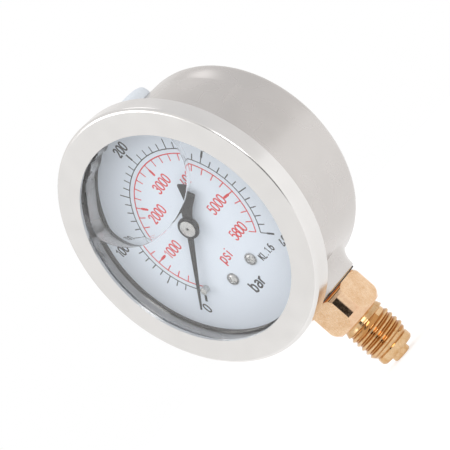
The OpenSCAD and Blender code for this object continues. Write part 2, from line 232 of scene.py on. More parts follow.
def applied(ob):
    """Replaces a piece's mesh by its finished one, without modifiers"""
    bpy.context.view_layer.update()
    graph = bpy.context.evaluated_depsgraph_get()
    mesh = bpy.data.meshes.new_from_object(ob.evaluated_get(graph))
    name = ob.name
    bpy.data.objects.remove(ob)
    mesh.name = name
    return link(name, mesh)


def clean(ob, sharp=35, merge=1e-4):
    """Merges doubles, turns faces outwards, and shades smooth between sharp edges"""
    bm = bmesh.new()
    bm.from_mesh(ob.data)
    bmesh.ops.remove_doubles(bm, verts=bm.verts, dist=merge)
    bmesh.ops.dissolve_degenerate(bm, edges=bm.edges, dist=merge / 10)
    holes = [e for e in bm.edges if e.is_boundary]
    if holes:
        bmesh.ops.holes_fill(bm, edges=holes, sides=0)
    bmesh.ops.recalc_face_normals(bm, faces=bm.faces)
    if bm.calc_volume(signed=True) < 0:
        bmesh.ops.reverse_faces(bm, faces=bm.faces)
    bm.to_mesh(ob.data)
    bm.free()
    ob.data.shade_smooth()
    ob.data.set_sharp_from_angle(angle=math.radians(sharp))
    return ob


def place(ob, matrix):
    ob.data.transform(matrix)
    ob.data.update()
    return ob


def turned(name, profile, steps=ROUND, radii=None, round_steps=4):
    """Screws a profile of (radius, height) from top to bottom; radii rounds its corners"""
    ob = raw(name, [(r, 0, z) for r, z in profile],
             [(i, i + 1) for i in range(len(profile) - 1)])
    if radii:
        biggest = max(radii.values())
        group = ob.vertex_groups.new(name="corner")
        for index, r in radii.items():
            group.add([index], r / biggest, "REPLACE")
        modify(ob, "BEVEL", affect="VERTICES", width=biggest, segments=round_steps,
               limit_method="VGROUP", vertex_group="corner", use_clamp_overlap=False)
    modify(ob, "SCREW", axis="Z", steps=steps, render_steps=steps, angle=2 * math.pi,
           use_merge_vertices=True, merge_threshold=1e-4, use_smooth_shade=True)
    return clean(applied(ob))


def polar(name, rows, seg, point):
    """Rings of seg points closed into a tube; point(row, angle) gives each one"""
    verts = [point(k, 2 * math.pi * i / seg) for k in range(rows) for i in range(seg)]
    faces = [(k * seg + i, k * seg + (i + 1) % seg, (k + 1) * seg + (i + 1) % seg,
              (k + 1) * seg + i) for k in range(rows - 1) for i in range(seg)]
    return raw(name, verts, faces=faces)


def prism(name, outline, low, high):
    n = len(outline)
    verts = [(x, y, z) for z in (low, high) for x, y in outline]
    faces = [tuple(range(n))[::-1], tuple(range(n, 2 * n))]
    faces += [(i, (i + 1) % n, n + (i + 1) % n, n + i) for i in range(n)]
    return raw(name, verts, faces=faces)


def boolean(ob, tool, operation):
    """Cuts or keeps ob by the tool, applies it and removes the tool"""
    modify(ob, "BOOLEAN", object=tool, operation=operation, solver="EXACT")
    out = applied(ob)
    bpy.data.objects.remove(tool)
    return out


def bevelled(ob, width, segments=2, limit=30):
    modify(ob, "BEVEL", width=width, segments=segments, limit_method="ANGLE",
           angle_limit=math.radians(limit), use_clamp_overlap=True)
    return applied(ob)


def dress(ob, body, slot, material, *replaced):
    ob.data.materials.clear()
    ob.data.materials.append(material)
    if body:
        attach(ob, body)
    if replaced:
        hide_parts(*replaced)
    return ob


def clock(degrees, r, height=0.0):
    """A point at a clock angle, clockwise from straight up"""
    a = math.radians(degrees)
    return (r * math.sin(a), r * math.cos(a) + height)


# ---------------------------------------------------------------- finishes


def add(tree, kind, inputs=None, stops=None, **values):
    """Adds a node with its settings; inputs takes a number, a colour or another socket"""
    item = tree.nodes.new(kind)
    for key, value in values.items():
        setattr(item, key, value)
    for key, value in (inputs or {}).items():
        if isinstance(value, bpy.types.NodeSocket):
            tree.links.new(value, item.inputs[key])
        else:
            item.inputs[key].default_value = value
    if stops:
        ramp = item.color_ramp
        while len(ramp.elements) < len(stops):
            ramp.elements.new(0.5)
        for element, (position, value) in zip(ramp.elements, stops):
            element.position = position
            element.color = (*value, 1) if len(value) == 3 else value
    return item


def new_material(name):
    """A fresh material with its tree, its shader and its object coordinates in millimetres"""
    mat = bpy.data.materials.new(name)
    mat.use_nodes = True
    tree = mat.node_tree
    tree.nodes.clear()
    out = add(tree, "ShaderNodeOutputMaterial")
    shader = add(tree, "ShaderNodeBsdfPrincipled")
    tree.links.new(shader.outputs[0], out.inputs["Surface"])
    coord = add(tree, "ShaderNodeTexCoord")
    scaled = add(tree, "ShaderNodeVectorMath", {0: coord.outputs["Object"], 1: (1000,) * 3},
                 operation="MULTIPLY")
    return mat, tree, shader, scaled.outputs[0]


def shade(tint, factor):
    return tuple(min(1, c * factor) for c in tint)


def surface(name, tint, metallic=0.0, roughness=0.4, grain=1.0, spread=0.06, bump=0.02,
            rough_spread=0.05, coarse=7.0, deep=None, coat=0.0, subsurface=0.0,
            stretch=(1, 1, 1), detail=3.0):
    """A painted, moulded or metal surface; grain, coarse and bump are in millimetres"""
    if name in bpy.data.materials:
        return bpy.data.materials[name]
    mat, tree, shader, point = new_material(name)
    tint = tuple(tint)
    deep = tuple(deep) if deep else shade(tint, 1 - spread)
    stretched = add(tree, "ShaderNodeMapping", {"Vector": point, "Scale": stretch})
    fine = add(tree, "ShaderNodeTexNoise", {"Vector": stretched.outputs[0], "Scale": 1 / grain,
                                            "Detail": detail, "Roughness": 0.6})
    broad = add(tree, "ShaderNodeTexNoise", {"Vector": point, "Scale": 1 / coarse,
                                             "Detail": 2.0})
    blend = add(tree, "ShaderNodeMath", {0: fine.outputs["Fac"], 1: broad.outputs["Fac"]},
                operation="ADD")
    half = add(tree, "ShaderNodeMath", {0: blend.outputs[0], 1: 0.5}, operation="MULTIPLY")
    ramp = add(tree, "ShaderNodeValToRGB", {"Fac": half.outputs[0]},
               stops=[(0.36, deep), (0.6, tint)])
    rough = add(tree, "ShaderNodeMapRange", {
        "Value": fine.outputs["Fac"], "From Min": 0.3, "From Max": 0.7,
        "To Min": max(0.02, roughness - rough_spread), "To Max": roughness + rough_spread})
    tree.links.new(ramp.outputs[0], shader.inputs["Base Color"])
    tree.links.new(rough.outputs[0], shader.inputs["Roughness"])
    shader.inputs["Metallic"].default_value = metallic
    shader.inputs["Coat Weight"].default_value = coat
    shader.inputs["Subsurface Weight"].default_value = subsurface
    if subsurface:
        shader.inputs["Subsurface Scale"].default_value = 2 * MM
    if bump:
        relief = add(tree, "ShaderNodeBump", {"Height": fine.outputs["Fac"],
                                              "Strength": 0.35, "Distance": bump * MM})
        tree.links.new(relief.outputs[0], shader.inputs["Normal"])
    return mat


def case_steel():
    # drawn stainless sheet: soft satin sheen with faint clouding across the grey
    return surface("drawn_stainless", settings("case").steel, 1.0, 0.27, grain=7.0, spread=0.05,
                   coarse=18.0, bump=0.07, rough_spread=0.03, detail=0.6)


def bezel_steel():
    # spun stainless: paler and smoother than the case, with a clear highlight on its corner
    return surface("spun_stainless", settings("case").bezel_steel, 1.0, 0.2, grain=5.0,
                   spread=0.03, coarse=20.0, bump=0.02, rough_spread=0.03, detail=0.6)


def plain_steel():
    # turned steel: small bright parts with a fine grain
    return surface("turned_steel", linear("#c9c9c7"), 1.0, 0.28, grain=0.3, spread=0.05,
                   bump=0.003)


def milled_brass():
    # milled brass: sandy mottling with warmer clouds between the cutter marks
    return surface("milled_brass", settings("stem").brass, 1.0, 0.25, grain=0.7, coarse=3.0,
                   bump=0.01, deep=linear("#dbb48c"), rough_spread=0.06)


def turned_brass():
    # turned brass: painted darker than the milled brass as shade, brighter on the crests, deeper
    # gold in random clouds
    return surface("turned_brass", settings("stem").brass_turned_shaded, 1.0, 0.16, grain=0.9,
                   coarse=4.0, bump=0.004, deep=linear("#c99a62"), rough_spread=0.04)


def corner_brass():
    # turned corners: polished by the tool, so they mirror the room more sharply than the flats
    return surface("polished_turned_brass", settings("stem").brass, 1.0, 0.1, grain=0.9,
                   coarse=4.0, bump=0.003, deep=linear("#e0b896"), rough_spread=0.03)


def thread_brass():
    # cut thread: bright crests, and grooves painted a deeper gold as shade
    name = "cut_brass_thread"
    mat = turned_brass().copy() if name not in bpy.data.materials else bpy.data.materials[name]
    if mat.name == name:
        return mat
    mat.name = name
    tree = mat.node_tree
    shader = next(n for n in tree.nodes if n.type == "BSDF_PRINCIPLED")
    bright = shader.inputs["Base Color"].links[0].from_socket
    coord = next(n for n in tree.nodes if n.type == "TEX_COORD")
    flat = add(tree, "ShaderNodeVectorMath", {0: coord.outputs["Object"], 1: (1000, 1000, 0)},
               operation="MULTIPLY")
    reach = add(tree, "ShaderNodeVectorMath", {0: flat.outputs[0]}, operation="LENGTH")
    crest = mm(settings("stem").thread) / 2
    # painted shade: the grooves get the darker brass, fading to the plain brass towards the crests
    high = add(tree, "ShaderNodeMapRange", {"Value": reach.outputs["Value"],
                                            "From Min": crest - 0.35, "From Max": crest - 0.12})
    mix = add(tree, "ShaderNodeMix", data_type="RGBA")
    tree.links.new(high.outputs[0], mix.inputs["Factor"])
    mix.inputs[6].default_value = (*settings("stem").brass_groove_shade, 1)
    tree.links.new(bright, mix.inputs[7])
    tree.links.new(mix.outputs[2], shader.inputs["Base Color"])
    return mat


def stamped_brass():
    # stamped brass sheet: even gold with a light roll grain
    return surface("stamped_brass", linear("#d8b072"), 1.0, 0.3, grain=0.3, spread=0.1,
                   stretch=(1, 1, 0.15), bump=0.004)


def drawn_bronze():
    # drawn phosphor bronze: redder than brass, grain along the tube
    return surface("drawn_bronze", linear("#c98c5c"), 1.0, 0.3, grain=0.35, spread=0.12,
                   bump=0.004)


def nitrile():
    # moulded nitrile rubber: dull grey with small pale specks
    return surface("nitrile_rubber", settings("case").gasket, 0.0, 0.6, grain=0.25,
                   spread=0.25, bump=0.02)


def black_rubber():
    # moulded black rubber: almost no highlight
    return surface("black_rubber", settings("stem").seal, 0.0, 0.55, grain=0.3, spread=0.3,
                   bump=0.02)


def plug_rubber():
    # translucent moulded rubber: light soaks in and softens the edge
    return surface("plug_rubber", settings("case").plug, 0.0, 0.4, grain=0.6, spread=0.05,
                   bump=0.015, subsurface=0.35)


def dial_paint():
    # matt enamel on aluminium: even cool white, a trace of orange peel
    return surface("dial_enamel", settings("dial").paint, 0.0, 0.6, grain=0.8, spread=0.015,
                   coarse=16.0, bump=0.004)


def ink(name, tint):
    # screen-printed ink: dense, with slightly thin spots
    return surface(name, tint, 0.0, 0.55, grain=0.25, spread=0.12, bump=0.004)


def pointer_paint():
    # satin stoving paint on aluminium
    return surface("pointer_paint", settings("pointer").black, 0.0, 0.35, grain=0.3,
                   spread=0.2, bump=0.006)


def clear(name, index, tint):
    """Glass or liquid: bends what the camera sees and lets the room's light straight in"""
    if name in bpy.data.materials:
        return bpy.data.materials[name]
    mat, tree, shader, _ = new_material(name)
    shader.inputs["Base Color"].default_value = (*tint, 1)
    shader.inputs["Roughness"].default_value = 0.0
    shader.inputs["IOR"].default_value = index
    shader.inputs["Transmission Weight"].default_value = 1.0
    through = add(tree, "ShaderNodeBsdfTransparent", {"Color": (*tint, 1)})
    path = add(tree, "ShaderNodeLightPath")
    either = add(tree, "ShaderNodeMath", {0: path.outputs["Is Shadow Ray"],
                                          1: path.outputs["Is Diffuse Ray"]},
                 operation="MAXIMUM")
    mix = add(tree, "ShaderNodeMixShader", {0: either.outputs[0], 1: shader.outputs[0],
                                            2: through.outputs[0]})
    out = next(n for n in tree.nodes if n.type == "OUTPUT_MATERIAL")
    tree.links.new(mix.outputs[0], out.inputs["Surface"])
    return mat


def carry(node, material):
    """A CAD node that keeps its shape and gets its real finish"""
    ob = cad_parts[node]
    for slot in ob.material_slots:
        slot.material = material
    if not ob.material_slots:
        ob.data.materials.append(material)


# ---------------------------------------------------------------- lettering

# Strokes of the dial's narrow lettering on a height of one. S is a smooth stroke, O a
# closed smooth loop, V a stroke with corners
LOOP = "O 0,.35 .05,.6 .19,.7 .33,.6 .38,.35 .33,.1 .19,0 .05,.1"
GLYPHS = {
    "0": "O 0,.74 .07,.93 .2,1 .33,.93 .4,.74 .4,.26 .33,.07 .2,0 .07,.07 0,.26",
    "1": "V .06,.78 .26,1 .26,0",
    "2": "S .01,.76 .07,.93 .2,1 .34,.93 .39,.75 .31,.5 .15,.24 0,0|V 0,0 .42,0",
    "3": "S .01,.8 .07,.95 .2,1 .34,.93 .38,.76 .32,.58 .15,.53|"
         "S .15,.53 .33,.47 .4,.27 .34,.07 .2,0 .06,.05 0,.2",
    "4": "V .32,0 .32,.5|V .24,1 0,.24 .44,.24",
    "5": "V .38,1 .05,1 .03,.54|S .03,.54 .12,.62 .22,.63 .35,.55 .4,.33 .34,.08 .2,0 .07,.05 0,.2",
    "6": "O .2,.6 .34,.53 .4,.32 .34,.08 .2,0 .06,.08 0,.32 .06,.53|S 0,.32 .03,.7 .12,.93 .32,1",
    "8": "O .2,.54 .34,.62 .38,.78 .33,.94 .2,1 .07,.94 .02,.78 .06,.62|"
         "O .2,.54 .35,.46 .4,.27 .34,.07 .2,0 .06,.07 0,.27 .05,.46",
    "p": "V 0,.7 0,-.28|" + LOOP,
    "s": "S .33,.6 .18,.7 .02,.58 .07,.42 .3,.28 .34,.1 .18,0 0,.1",
    "i": "V .05,0 .05,.7|V .05,.88 .05,.99",
    "b": "V 0,1 0,0|" + LOOP,
    "a": "S .03,.58 .1,.68 .2,.7 .33,.64 .38,.48 .38,0|"
         "S .38,.42 .2,.41 .05,.33 0,.18 .06,.03 .17,0 .3,.05 .38,.18",
    "r": "V 0,.7 0,0|S 0,.44 .07,.62 .18,.69 .27,.67",
    "K": "V 0,1 0,0|V .38,1 0,.4|V .12,.57 .42,0",
    "L": "V 0,1 0,0 .34,0",
    ".": "V .05,0 .05,.12",
}


NARROW = {".": 0.55, "i": 0.6, "1": 0.85}


def print_curve(name):
    curve = bpy.data.curves.new(name, "CURVE")
    curve.dimensions = "3D"
    curve.bevel_depth = 1.0
    curve.bevel_resolution = 2
    curve.use_fill_caps = True
    curve.resolution_u = 5
    return curve


def line(curve, points, widths):
    """A straight-sided line through points; widths are its full widths in millimetres"""
    spline = curve.splines.new("POLY")
    spline.points.add(len(points) - 1)
    for item, (x, y), w in zip(spline.points, points, widths):
        item.co = (x, y, 0, 1)
        item.radius = w / 2


def write(curve, text, x, h, height, advance, stroke):
    """Upright lettering centred on x, h"""
    steps = [advance * NARROW.get(letter, 1) for letter in text]
    x -= (sum(steps[:-1]) + 0.4 * height) / 2
    for letter, step in zip(text, steps):
        for part in GLYPHS[letter].split("|"):
            kind, *pairs = part.split()
            points = [tuple(float(v) for v in p.split(",")) for p in pairs]
            spots = [(x + px * height, h + (py - 0.5) * height) for px, py in points]
            if kind == "V":
                line(curve, spots, [stroke] * len(spots))
                continue
            spline = curve.splines.new("BEZIER")
            spline.bezier_points.add(len(spots) - 1)
            spline.use_cyclic_u = kind == "O"
            for item, (px, py) in zip(spline.bezier_points, spots):
                item.co = (px, py, 0)
                item.handle_left_type = item.handle_right_type = "AUTO"
                item.radius = stroke / 2
        x += step


def printed(name, curve, material):
    """Flattens the lines to a film of ink and lays it on the dial"""
    ob = link(name, curve)
    bpy.context.view_layer.update()
    graph = bpy.context.evaluated_depsgraph_get()
    mesh = bpy.data.meshes.new_from_object(ob.evaluated_get(graph))
    bpy.data.objects.remove(ob)
    bpy.data.curves.remove(curve)
    film = link(name, mesh)
    place(film, Matrix.Diagonal((1, 1, 0.1, 1)))
    place(film, CASE_PLACE @ Matrix.Translation((0, 0, -DIAL_FACE)))
    clean(film, 60, 2e-6)
    return dress(film, "housing", "dial_white", material)


# ---------------------------------------------------------------- pieces


class PieceOperator:
    """What every piece's operator shares"""
    bl_options = {"REGISTER", "UNDO"}

    def execute(self, context):
        self.build()
        return {"FINISHED"}


class GAUGE_OT_case(PieceOperator, bpy.types.Operator):
    """Drawn shell with its flange, rear shoulder flat and stem collar"""
    bl_idname = "gauge.case"
    bl_label = "Case"

    def build(self):
        s = settings("case")
        r, t, back = mm(s.wall_radius), mm(s.wall), mm(s.depth)
        flange = mm(s.flange_radius)
        flat_top, flat_long, flat_deep, flat_mid, flat_half = 24.2, 5.0, 0.6, 45.5, 19.0
        rows = (0, 0.12, 0.5, 1.2, 2.0, 3.0, 4.0, 5.0)
        shell = turned("case_shell", [
            (0, -back + t), (r - t, -back + t), (r - t, -4), (flange, -4), (flange, -4.6),
            (r, -4.6), (r, -15), *((r, -flat_top - d) for d in rows), (r, -back), (0, -back)],
            radii={1: 1.3, 7 + len(rows): 2.0, 5: 0.35}, round_steps=6, steps=240)
        # the shallow flat rolled into the rear shoulder
        for v in shell.data.vertices:
            x, h, d = v.co.x, v.co.y, -v.co.z
            reach = math.hypot(x, h)
            if reach > r - 0.05 and flat_top + 0.05 < d < flat_top + flat_long:
                turn = (math.degrees(math.atan2(x, h)) - flat_mid) / flat_half
                fall = 1 - (d - flat_top) / flat_long
                cut = flat_deep * max(0.0, 1 - turn * turn) * fall * fall * (3 - 2 * fall)
                v.co.x, v.co.y = x * (1 - cut / reach), h * (1 - cut / reach)
        shell.data.shade_smooth()
        shell.data.set_sharp_from_angle(angle=math.radians(28))
        dress(place(shell, CASE_PLACE), "housing", "steel", case_steel(), "case")

        # collar: leaves the stem upright and flares into the shell like a saddle
        end, near, far, inner, rows = CENTRE - 35.2, 8.9, 13.2, 7.9, 15

        def saddle(rho, phi):
            return CENTRE - math.sqrt(r * r - (rho * math.cos(phi)) ** 2)

        def reach(phi):
            return far - 2.7 * max(0.0, math.sin(phi)) ** 2

        def collar(k, phi):
            if k in (0, rows + 1):
                rho, z = inner, end + 4.5
            elif k == 1:
                rho, z = inner, end
            elif k == 2:
                rho, z = near - 0.2, end
            else:
                u = (k - 3) / (rows - 3)
                foot, knee = saddle(reach(phi), phi) + 0.25, saddle(near + 0.6, phi) - 0.2
                a, b, c, d = (1 - u) ** 3, 3 * u * (1 - u) ** 2, 3 * u * u * (1 - u), u ** 3
                rho = a * near + b * (near + 0.1) + c * (near + 1.2) + d * reach(phi)
                z = a * (end + 0.15) + b * (knee * 0.7 + end * 0.3) + c * (knee + 0.25) + d * foot
            return (rho * math.cos(phi), rho * math.sin(phi), z)

        ring = clean(polar("case_collar", rows + 2, 128, collar), 40)
        dress(place(ring, STEM_PLACE), "housing", "steel", case_steel())


class GAUGE_OT_bezel(PieceOperator, bpy.types.Operator):
    """Wide spun ring, crimped behind the flange"""
    bl_idname = "gauge.bezel"
    bl_label = "Bezel"

    def build(self):
        s = settings("case")
        r, opening, depth, t = (mm(v) for v in (s.bezel_radius, s.bezel_opening,
                                                s.bezel_depth, s.bezel_sheet))
        lip, lip_t = mm(s.wall_radius) + 0.3, 0.5
        ring = turned("bezel_ring", [
            (opening, -t), (opening, 0), (r, 0), (r, -depth), (lip, -depth),
            (lip, -depth + lip_t), (r - t, -depth + lip_t), (r - t, -t), (opening, -t)],
            radii={0: 0.2, 1: 0.22, 2: 0.95, 3: 0.4, 4: 0.12, 8: 0.2}, steps=256, round_steps=6)
        dress(place(ring, CASE_PLACE), "housing", "bezel_steel", bezel_steel(), "bezel")


class GAUGE_OT_plug(PieceOperator, bpy.types.Operator):
    """Domed filler plug on top of the case"""
    bl_idname = "gauge.plug"
    bl_label = "Filler plug"

    def build(self):
        r = mm(settings("case").wall_radius)
        head, top, shank = 7.2, (PLUG_HI.z / MM) - CENTRE, 5.3
        profile = [(0.01, 0.0), (2.0, 0.03), (4.0, 0.16), (5.4, 0.42), (6.3, 0.8), (6.85, 1.3),
                   (7.12, 1.9), (head, 2.5)]

        def dome(k, phi):
            if k < len(profile):
                rho, drop = profile[k]
                z = top - drop
            else:
                rho = (head, shank, shank, 0.01)[k - len(profile)]
                z = math.sqrt(r * r - (rho * math.cos(phi)) ** 2) + 0.06
                if k - len(profile) > 1:
                    z = r - 1.6
            return (rho * math.cos(phi), rho * math.sin(phi), z)

        plug = clean(polar("filler_plug_head", len(profile) + 4, 96, dome), 40, 0.03)
        place(plug, Matrix.Translation((0, (PLUG_DEPTH + FRONT) * MM, CENTRE * MM)) @ STEM_PLACE)
        dress(plug, "plug", "plug_rubber", plug_rubber(), "filler_plug")


class GAUGE_OT_stem(PieceOperator, bpy.types.Operator):
    """Square block, neck, thread, pilot and the socket bar inside the case"""
    bl_idname = "gauge.stem"
    bl_label = "Stem"

    def build(self):
        s = settings("stem")
        flats, big, crest, pitch, pilot = mm(s.flats) / 2, mm(s.turned) / 2, mm(s.thread) / 2, \
            mm(s.pitch), mm(s.pilot) / 2
        block_top, block_end, neck_top, neck_r = CENTRE - 35.7, 13.9, 12.7, 5.45

        round_bar = turned("stem_block", [
            (0, block_top), (big - 1.0, block_top), (big - 0.55, block_top - 0.35),
            (big - 0.2, block_top - 0.85), (big, block_top - 1.6), (big, block_end + 1.2),
            (big - 0.2, block_end + 0.45), (big - 0.55, block_end - 0.2),
            (big - 1.4, neck_top), (0, neck_top)], steps=192)
        corners = [(-flats, -flats), (flats, -flats), (flats, flats), (-flats, flats)]
        block = boolean(round_bar, prism("square", corners, 0, 40), "INTERSECT")
        block = clean(bevelled(block, 0.12, 2), 7)
        dress(place(block, STEM_PLACE), "housing", "brass", milled_brass(), "stem")
        block.data.materials.append(corner_brass())
        for face in block.data.polygons:
            # milled faces point along an axis; all the rest of the block was turned
            milled = max(abs(face.normal.x), abs(face.normal.y)) >= 0.995
            face.material_index = 0 if milled else 1

        core = turned("stem_turning", [
            (0, neck_top + 0.3), (neck_r, neck_top + 0.3), (neck_r, neck_top), (crest, 11.15),
            (crest, 11.0), (crest - 0.58, 10.7), (crest - 0.58, 2.95), (4.9, 2.3), (5.15, 2.05),
            (5.15, 0.55), (4.65, 0), (pilot, 0), (pilot, -1.3), (pilot - 0.3, -1.6), (0, -1.6)],
            radii={3: 0.12, 9: 0.15, 10: 0.1, 12: 0.1}, steps=128)
        dress(place(core, STEM_PLACE), "housing", "brass", turned_brass())

        # the thread: one tooth screwed upwards. A cone cuts its first turn back to the plain
        # end, and its last third of a turn sinks into the bar
        root, low, turns = crest - 0.55, 2.0, 6
        buried, cone_start, cone_rise, sink_turns = 4.85, 2.3, 0.8, 0.35
        sunk = crest - 0.62
        tooth = [(root, 0.75), (root + 0.04, 0.6), (crest - 0.08, 0.24), (crest, 0.16),
                 (crest, -0.16), (crest - 0.08, -0.24), (root + 0.04, -0.6), (root, -0.75)]
        ob = raw("stem_thread", [(r, 0, low + 0.75 + z) for r, z in tooth],
                 [(i, i + 1) for i in range(len(tooth) - 1)])
        modify(ob, "SCREW", axis="Z", steps=96, render_steps=96, angle=2 * math.pi,
               screw_offset=pitch, iterations=turns - 1, use_merge_vertices=True,
               merge_threshold=1e-3)
        ob = applied(ob)
        for v in ob.data.vertices:
            reach = math.hypot(v.co.x, v.co.y)
            sweep = math.atan2(v.co.y, v.co.x) / (2 * math.pi) % 1
            turn = round((v.co.z - low - 0.75) / pitch - sweep) + sweep
            run_out = max(0, min(1, (turns - 1 - turn) / sink_turns))
            cone = buried + cone_rise * max(0, v.co.z - cone_start)
            keep = min(reach, cone, sunk + (crest - sunk) * run_out)
            v.co.x *= keep / reach
            v.co.y *= keep / reach
        thread = clean(ob, 30, 1e-3)
        dress(place(thread, STEM_PLACE), "housing", "brass", thread_brass())

        bar_low, bar_high = block_top - 1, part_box("stem")[1].z / MM
        bar = prism("stem_bar", [(-7, -1.4), (7, -1.4), (7, 6.6), (-7, 6.6)], bar_low + 7,
                    bar_high)
        bar = clean(bevelled(bar, 0.3), 12)
        dress(place(bar, STEM_PLACE), "housing", "brass", milled_brass())
        shoulder = turned("stem_shoulder", [(0, bar_low + 7.5), (8.15, bar_low + 7.5),
                                            (8.15, bar_low + 1), (0, bar_low + 1)], steps=96)
        dress(place(shoulder, STEM_PLACE), "housing", "brass", turned_brass())
        seal = turned("stem_seal_ring", [(7.4, block_top + 0.34), (8.4, block_top + 0.34),
                                         (8.4, block_top + 0.02), (7.4, block_top + 0.02),
                                         (7.4, block_top + 0.34)],
                      radii={1: 0.1, 2: 0.1}, steps=96)
        dress(place(seal, STEM_PLACE), "housing", "black_rubber", black_rubber(), "stem_seal")
        carry("restrictor_screw", plain_steel())


class GAUGE_OT_dial(PieceOperator, bpy.types.Operator):
    """Dial with its printed scales, the ring round it, its screws and the stop pin"""
    bl_idname = "gauge.dial"
    bl_label = "Dial"

    def scales(self):
        s = settings("dial")
        black, red = print_curve("dial_print_black"), print_curve("dial_print_red")
        outer, inner, stroke = mm(s.arc_outer), mm(s.arc_inner), mm(s.stroke)

        def arc(curve, first, last, r, w):
            n = 120
            spots = [clock(first + (last - first) * i / n, r, AXIS) for i in range(n + 1)]
            line(curve, spots, [w] * (n + 1))

        def tick(curve, degrees, radii, widths):
            line(curve, [clock(degrees, r, AXIS) for r in radii], widths)

        arc(black, -130.4, 135, outer, 0.28)
        for i in range(41):
            a = -135 + 6.75 * i
            if i < 3:
                continue
            if i % 10 == 0:
                tick(black, a, (outer, outer + 1.7, outer + 1.75, outer + 3.8),
                     (0.26, 0.28, 0.55, 0.55))
            else:
                tick(black, a, (outer, outer + (2.9 if i % 5 == 0 else 1.85)), (0.3, 0.3))
        tick(black, -130.4, (outer + 1.4, outer + 3.3), (0.7, 0.7))
        arc(red, -130.4, 135, inner, 0.33)
        for i in range(1, 30):
            a = -135 + 9.308 * i
            if a < -128:
                continue
            if i % 5 == 0:
                tick(red, a, (inner, inner - 1.4, inner - 1.9, inner - 3.3, inner - 3.7),
                     (0.3, 0.3, 0.7, 0.7, 0.35))
            else:
                tick(red, a, (inner, inner - 2.0), (0.3, 0.3))
        tall = mm(s.digit)
        for text, x, h in (("1000", -11.4, -0.1), ("2000", -8.9, 8.6), ("3000", 0.5, 12.3),
                           ("4000", 8.6, 8.0), ("5000", 11.3, -1.6), ("5800", 9.3, -9.6)):
            write(red, text, x, h + AXIS, tall, 1.45 if text == "5800" else 1.68, stroke)
        write(red, "psi", 0, -11.1 + AXIS, 2.9, 1.75, 0.44)
        for text, x, h in (("0", -19.4, -16.2), ("100", -24.3, 9.7), ("200", 0, 25.5),
                           ("300", 24.3, 9.7), ("400", 17.9, -19.6)):
            write(black, text, x, h + AXIS, 2.6, 1.6, 0.46)
        write(black, "bar", 0, -21.3 + AXIS, 3.2, 2.05, 0.55)
        write(black, "KL.1.6", 10.2, -18.0 + AXIS, 2.0, 1.22, 0.38)
        printed("dial_print_black", black, ink("black_ink", s.black))
        printed("dial_print_red", red, ink("red_ink", s.red))

    def build(self):
        self.scales()
        carry("dial", dial_paint())
        # painted shade: the ring round the dial is black rubber to stand for the dark gap at the
        # dial's edge
        carry("dial_ring", black_rubber())
        for side, twist in (("left", 12), ("right", 40)):
            lo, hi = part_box("dial_screw_" + side)
            x, h = (lo.x + hi.x) / 2 / MM, (lo.z + hi.z) / 2 / MM - CENTRE
            head = turned("screw_head_" + side, [
                (0, 0.82), (0.8, 0.8), (1.3, 0.7), (1.6, 0.5), (1.74, 0.22), (1.75, 0),
                (0.72, -0.02), (0.72, -2), (0, -2)], steps=64)
            for turn in (0, 90):
                bar = prism("slot", [(-1.05, -0.24), (1.05, -0.24), (1.05, 0.24),
                                     (-1.05, 0.24)], 0.2, 2)
                bar.data.transform(Matrix.Rotation(math.radians(turn + twist), 4, "Z"))
                head = boolean(head, bar, "DIFFERENCE")
            place(clean(head, 30), at(x, h) @ Matrix.Translation((0, 0, -DIAL_FACE)))
            dress(head, "housing", "screw_steel", plain_steel(), "dial_screw_" + side)
        lo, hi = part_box("stop_pin")
        x, h = (lo.x + hi.x) / 2 / MM, (lo.z + hi.z) / 2 / MM - CENTRE
        tall = DIAL_FACE - (lo.y / MM - FRONT)
        pin = turned("stop_pin_head", [(0, tall), (1.0, tall), (1.0, 0.0), (0.55, -0.1),
                                       (0.55, -0.9), (0, -0.9)], radii={1: 0.3}, steps=48)
        place(pin, at(x, h) @ Matrix.Translation((0, 0, -DIAL_FACE)))
        dress(pin, "housing", "screw_steel", plain_steel(), "stop_pin")


class GAUGE_OT_pointer(PieceOperator, bpy.types.Operator):
    """Needle with its flared tail, silver hub disc and black boss"""
    bl_idname = "gauge.pointer"
    bl_label = "Pointer"

    def build(self):
        s = settings("pointer")
        reach, tail, hub, boss = mm(s.reach), mm(s.tail), mm(s.hub), mm(s.boss)
        turn = at(0, AXIS) @ Matrix.Rotation(-s.rest, 4, "Z")
        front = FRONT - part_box("pointer_blade")[0].y / MM
        half = [(0.24, reach), (0.9, 3.0), (1.25, 0), (1.38, -2), (1.5, -4.3), (1.9, -6.4),
                (2.55, -8.4), (3.1, 0.75 - tail), (3.2, 0.4 - tail), (3.05, 0.05 - tail),
                (1.6, -tail - 0.2)]
        outline = [(0, -tail - 0.28)] + half[::-1] + [(-x, y) for x, y in half]
        blade = prism("pointer_needle", outline, front - 0.4, front)
        blade = clean(bevelled(blade, 0.06, 2), 12)
        dress(place(blade, turn), "pointer", "pointer_black", pointer_paint(), "pointer_blade")
        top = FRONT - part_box("pointer_hub")[0].y / MM
        ring = turned("pointer_boss", [(hub, top - 0.15), (boss, top - 0.15),
                                       (boss + 0.1, front - 0.1), (hub, front - 0.1),
                                       (hub, top - 0.15)],
                      radii={1: 0.25}, steps=96)
        dress(place(ring, turn), "pointer", "pointer_black", pointer_paint(), "pointer_cap")
        disc = turned("pointer_hub_disc", [(0, top - 0.25), (0.34, top - 0.25), (0.42, top),
                                           (hub, top), (hub + 0.02, front - 0.5),
                                           (hub - 0.4, front - 2.8), (0, front - 2.8)],
                      radii={3: 0.18}, steps=96)
        dress(place(disc, turn), "pointer", "screw_steel", plain_steel(), "pointer_hub")
        dot = turned("pointer_arbor_end", [(0, top - 0.12), (0.22, top - 0.14), (0.3, top - 0.2),
                                           (0.3, top - 0.6), (0, top - 0.6)], steps=32)
        dress(place(dot, turn), "pointer", "pointer_black", pointer_paint())


